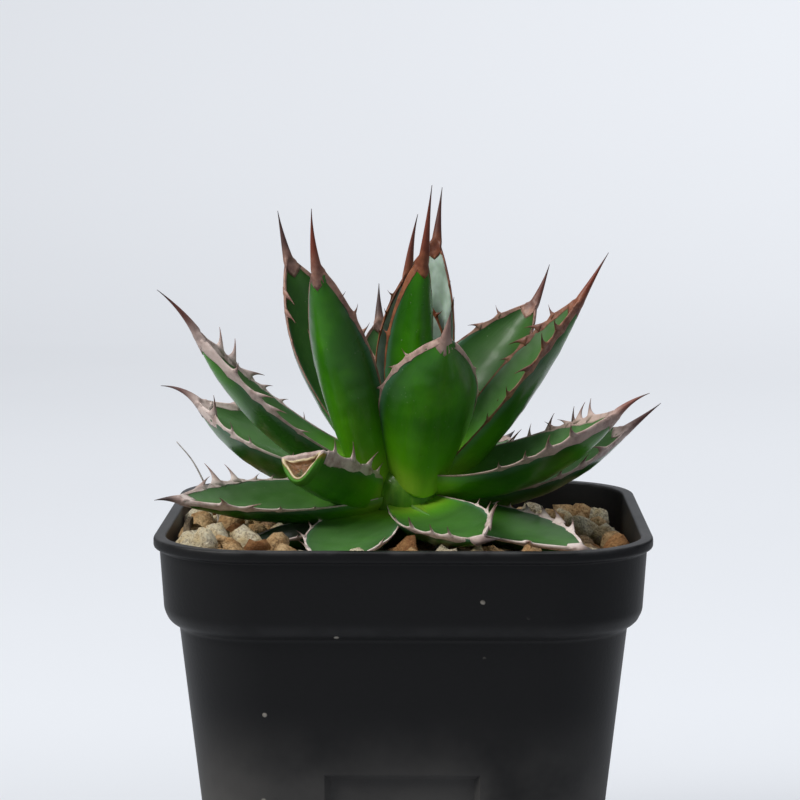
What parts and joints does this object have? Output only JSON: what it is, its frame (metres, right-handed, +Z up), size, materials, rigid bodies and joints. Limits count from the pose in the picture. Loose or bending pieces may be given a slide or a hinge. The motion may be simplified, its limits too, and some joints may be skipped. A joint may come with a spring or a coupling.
{
  "type": "potted agave horrida",
  "caption": "Young agave rosette with toothed, spine-tipped leaves, standing in coarse grit in a square black nursery pot.",
  "frame": {"origin": "middle of the pot's foot, on the surface it stands on", "axes": "+Z up, -Y out of the pot's front, which the picture shows, +X to the viewer's right"},
  "size_m": [0.0964, 0.09, 0.1422],
  "materials": {
    "pot_plastic": "near-black moulded nursery plastic with a satin sheen, lighter on its edges",
    "grit": "dry porous grains of tan clay and cream pumice",
    "pale_stem": "smooth pale yellow-green plant tissue",
    "young_leaf": "smooth leaf with a pale waxy bloom",
    "leaf": "glossy waxy deep green leaf, yellow-green at its base",
    "young_horn": "red-brown horny margin, teeth and end spine, dark at the tips",
    "old_horn": "weathered grey-white horny margin and teeth, brown at the tips",
    "dry_fibre": "dry grey plant fibre"
  },
  "bodies": {
    "root": {"pot": "pot_plastic", "substrate": "grit", "heart": "pale_stem", "dry_fibre": "dry_fibre", "leaf_01_blade": "young_leaf", "leaf_01_margin": "young_horn", "leaf_02_blade": "young_leaf", "leaf_02_margin": "young_horn", "leaf_03_blade": "leaf", "leaf_03_margin": "young_horn", "leaf_04_blade": "leaf", "leaf_04_margin": "young_horn", "leaf_05_blade": "leaf", "leaf_05_margin": "young_horn", "leaf_06_blade": "leaf", "leaf_06_margin": "young_horn", "leaf_07_blade": "leaf", "leaf_07_margin": "young_horn", "leaf_08_blade": "leaf", "leaf_08_margin": "young_horn", "leaf_09_blade": "leaf", "leaf_09_margin": "young_horn", "leaf_10_blade": "leaf", "leaf_10_margin": "old_horn", "leaf_11_blade": "leaf", "leaf_11_margin": "old_horn", "leaf_12_blade": "leaf", "leaf_12_margin": "old_horn", "leaf_13_blade": "leaf", "leaf_13_margin": "old_horn", "leaf_14_blade": "leaf", "leaf_14_margin": "old_horn", "leaf_15_blade": "leaf", "leaf_15_margin": "old_horn", "leaf_16_blade": "leaf", "leaf_16_margin": "old_horn", "leaf_17_blade": "leaf", "leaf_17_margin": "old_horn", "leaf_18_blade": "leaf", "leaf_18_margin": "old_horn", "leaf_19_blade": "leaf", "leaf_19_margin": "old_horn", "leaf_20_blade": "leaf", "leaf_20_margin": "old_horn", "leaf_21_blade": "leaf", "leaf_21_margin": "old_horn", "leaf_22_blade": "leaf", "leaf_22_margin": "old_horn", "leaf_23_blade": "leaf", "leaf_23_margin": "old_horn", "leaf_24_blade": "leaf", "leaf_24_margin": "old_horn"}
  },
  "joints": []
}
